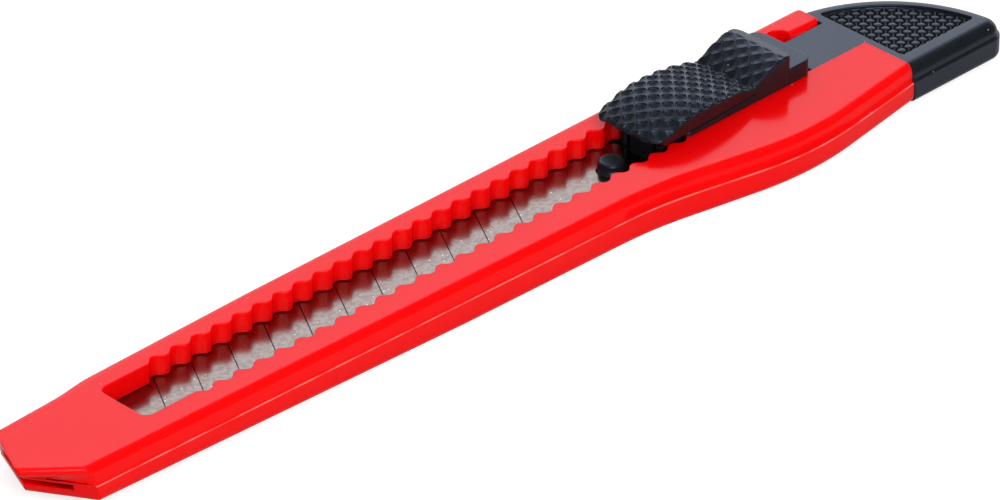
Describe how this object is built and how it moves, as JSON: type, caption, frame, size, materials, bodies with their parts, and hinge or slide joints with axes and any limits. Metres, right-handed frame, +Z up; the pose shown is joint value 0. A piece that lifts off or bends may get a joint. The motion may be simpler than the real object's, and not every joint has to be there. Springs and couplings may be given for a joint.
{
  "type": "snap-off utility knife",
  "caption": "Slim snap-off cutter: toothed slot in a belly handle, scored blade on a knurled thumb slider, D-shaped textured tail cap.",
  "frame": {"origin": "on the underside, below the centre of the knife's box, blade drawn in", "axes": "+X along the knife towards the tail cap, -X out of the blade mouth, +Z up through the slot and slider, +Y towards the straight back, -Y towards the cutting edge and belly"},
  "size_m": [0.134, 0.0198, 0.0088],
  "materials": {
    "red_plastic": "glossy moulded polystyrene, signal red",
    "black_plastic": "semi-gloss moulded ABS, black",
    "blade_steel": "ground carbon steel, satin, lightly oiled"
  },
  "bodies": {
    "handle": {"body": "red_plastic"},
    "carriage": {"slider": "black_plastic", "blade_holder": "black_plastic", "blade": "blade_steel"},
    "cap": {"end_cap": "black_plastic"}
  },
  "joints": [
    {"name": "blade_slide", "type": "slide", "parent": "handle", "child": "carriage", "axis": [-1, 0, 0], "range_m": [0, 0.0647]},
    {"name": "cap_pull", "type": "slide", "parent": "handle", "child": "cap", "axis": [1, 0, 0], "range_m": [0, 0.02]}
  ]
}
